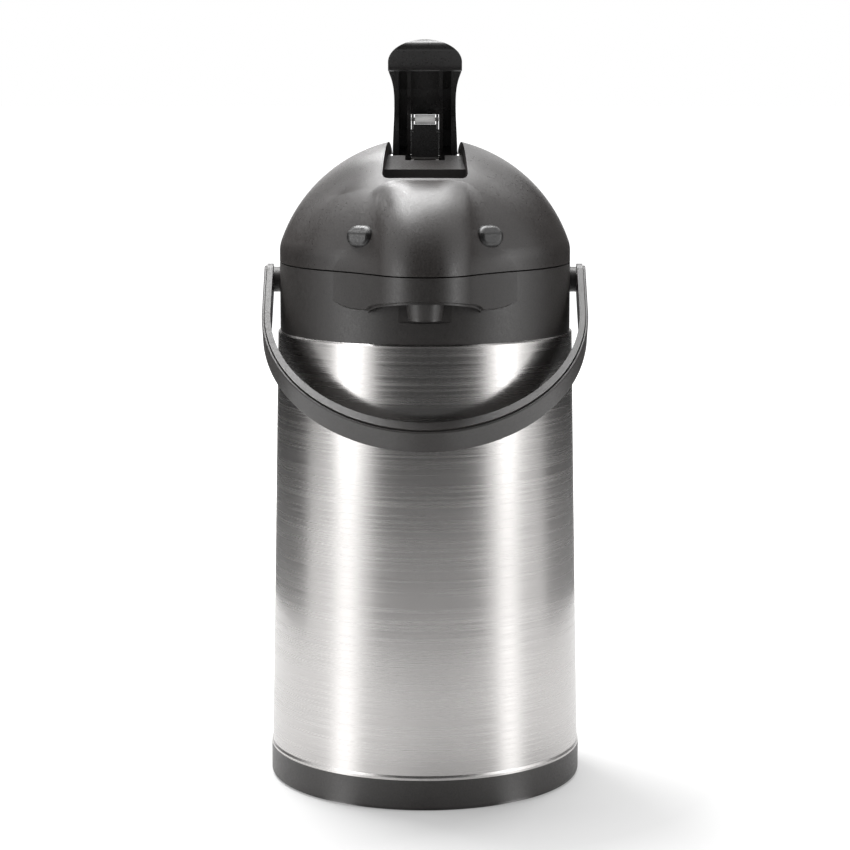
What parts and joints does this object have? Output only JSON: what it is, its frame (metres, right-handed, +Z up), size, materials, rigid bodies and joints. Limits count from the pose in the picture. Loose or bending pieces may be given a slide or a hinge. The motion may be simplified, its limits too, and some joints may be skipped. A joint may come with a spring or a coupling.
{
  "type": "airpot",
  "caption": "Tall insulated drinks dispenser in brushed steel, with a domed hinged lid, a folding pump lever, a beaked spout and a swinging bail handle.",
  "frame": {"origin": "centre of the base on the surface it stands on", "axes": "+Z up along the body, -Y towards the spout, +X to the right seen from the spout"},
  "size_m": [0.1734, 0.1884, 0.4007],
  "materials": {
    "black_plastic": "fine moulded texture, satin",
    "grey_plastic": "satin",
    "pale_plastic": "satin",
    "brushed_steel": "brushed round the body",
    "liner_steel": "satin",
    "bright_steel": "drawn, bright",
    "dark_rubber": "matt",
    "clear_rubber": "matt"
  },
  "bodies": {
    "base": {"base_ring": "black_plastic", "base_plate": "black_plastic", "base_screws": "bright_steel", "bottle_cushion": "dark_rubber", "outer_shell": "brushed_steel", "bottle_outer_wall": "liner_steel", "bottle_inner_floor": "liner_steel", "bottle_inner_foot": "liner_steel", "bottle_inner_wall": "liner_steel", "bottle_inner_neck": "liner_steel", "neck_gasket": "clear_rubber", "collar": "black_plastic", "nozzle": "black_plastic", "discharge_pipe": "grey_plastic", "tube_head": "grey_plastic", "riser_tube": "grey_plastic", "hinge_pin": "bright_steel", "handle_pin_left": "bright_steel", "handle_pin_right": "bright_steel"},
    "lid": {"dome": "black_plastic", "lever_tray": "black_plastic", "lever_axle": "bright_steel", "lid_base": "grey_plastic", "lid_screws": "bright_steel", "pump_housing": "grey_plastic", "stopper": "grey_plastic", "stopper_gasket": "clear_rubber", "air_valve": "dark_rubber", "bellows": "dark_rubber", "return_spring": "bright_steel"},
    "pump": {"plunger": "black_plastic", "post_yoke": "bright_steel", "barrel": "pale_plastic", "barrel_pin": "bright_steel"},
    "lever": {"lever": "black_plastic"},
    "handle": {"handle": "black_plastic", "handle_cover": "black_plastic"},
    "left_latch": {"release_button_left": "black_plastic", "latch_arm_left": "pale_plastic"},
    "right_latch": {"release_button_right": "black_plastic", "latch_arm_right": "pale_plastic"}
  },
  "joints": [
    {"name": "lid_hinge", "type": "hinge", "parent": "base", "child": "lid", "pos_m": [0, 0.0834, 0.2808], "axis": [-1, 0, 0], "range_deg": [0, 95]},
    {"name": "lever_push", "type": "hinge", "parent": "lid", "child": "lever", "pos_m": [0, 0.022, 0.337], "axis": [1, 0, 0], "range_deg": [0, 72], "stiffness_Nm_per_rad": 0.12, "springref_deg": -34.38},
    {"name": "pump_stroke", "type": "slide", "parent": "lid", "child": "pump", "axis": [0, 0, -1], "range_m": [0, 0.0247], "deforming": ["bellows", "return_spring"]},
    {"name": "handle_swing", "type": "hinge", "parent": "base", "child": "handle", "pos_m": [0, 0, 0.2722], "axis": [-1, 0, 0], "range_deg": [0, 100]},
    {"name": "left_button_push", "type": "slide", "parent": "lid", "child": "left_latch", "axis": [0.4349, 0.9005, 0], "range_m": [0, 0.0035], "stiffness_N_per_m": 400, "springref_m": -0.003},
    {"name": "right_button_push", "type": "slide", "parent": "lid", "child": "right_latch", "axis": [-0.4349, 0.9005, 0], "range_m": [0, 0.0035], "stiffness_N_per_m": 400, "springref_m": -0.003}
  ],
  "couplings": [
    {"joint": "pump_stroke", "follows": "lever_push", "m_per_rad": 0.019648}
  ]
}
